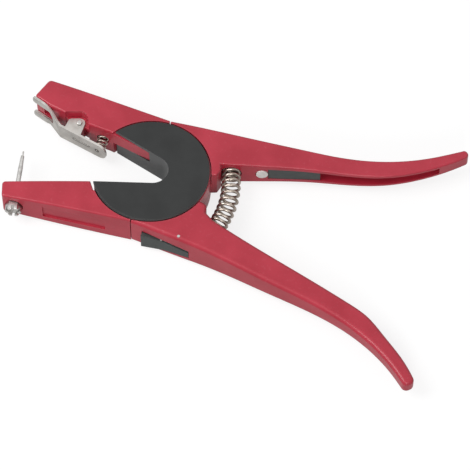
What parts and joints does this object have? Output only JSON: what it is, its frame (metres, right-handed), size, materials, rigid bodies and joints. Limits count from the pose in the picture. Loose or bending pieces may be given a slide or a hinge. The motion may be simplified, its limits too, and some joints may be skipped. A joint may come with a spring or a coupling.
{
  "type": "ear tag applicator",
  "caption": "Crossing pliers with a round hub and an open throat, a needle in the lower jaw, a sprung fork clip on the upper jaw and a return spring between curved handles",
  "frame": {"origin": "on the pivot axis, on the surface that the tool lies on", "axes": "+X from the jaws to the ends of the handles, +Y from the lower jaw to the upper jaw, +Z along the pivot axis, up from the surface"},
  "size_m": [0.2567, 0.1915, 0.0215],
  "materials": {
    "paint": "satin",
    "hub_plastic": "fine grain",
    "bright_steel": "satin",
    "spring_steel": "drawn",
    "clip_steel": "dull",
    "grey_plastic": "matte",
    "pale_plastic": "matte"
  },
  "bodies": {
    "lower_arm": {"lower_jaw_arm": "paint", "hub_top": "hub_plastic", "hub_bottom": "hub_plastic", "hub_screws": "bright_steel", "needle": "bright_steel", "needle_nut": "bright_steel", "handle_insert": "grey_plastic", "insert_rivet": "pale_plastic", "main_spring": "spring_steel"},
    "upper_arm": {"upper_jaw_arm": "paint", "clip_pin": "bright_steel", "clip_spring": "spring_steel", "lever_pin": "bright_steel", "lever_stop": "bright_steel"},
    "clip": {"tag_clip": "clip_steel"},
    "lever": {"latch_lever": "grey_plastic"}
  },
  "joints": [
    {"name": "jaw_pivot", "type": "hinge", "parent": "lower_arm", "child": "upper_arm", "pos_m": [0, 0, 0.01075], "axis": [0, 0, 1], "range_deg": [0, 30], "stiffness_Nm_per_rad": 6, "springref_deg": -8.59, "deforming": ["main_spring"]},
    {"name": "clip_hinge", "type": "hinge", "parent": "upper_arm", "child": "clip", "pos_m": [-0.0404, 0.0347, 0.01075], "axis": [0, 0, 1], "range_deg": [0, 12], "stiffness_Nm_per_rad": 0.05, "springref_deg": -11.46, "deforming": ["clip_spring"]},
    {"name": "lever_hinge", "type": "hinge", "parent": "upper_arm", "child": "lever", "pos_m": [0.0156, -0.0422, 0.0082], "axis": [0, 0, 1], "range_deg": [0, 20]}
  ]
}
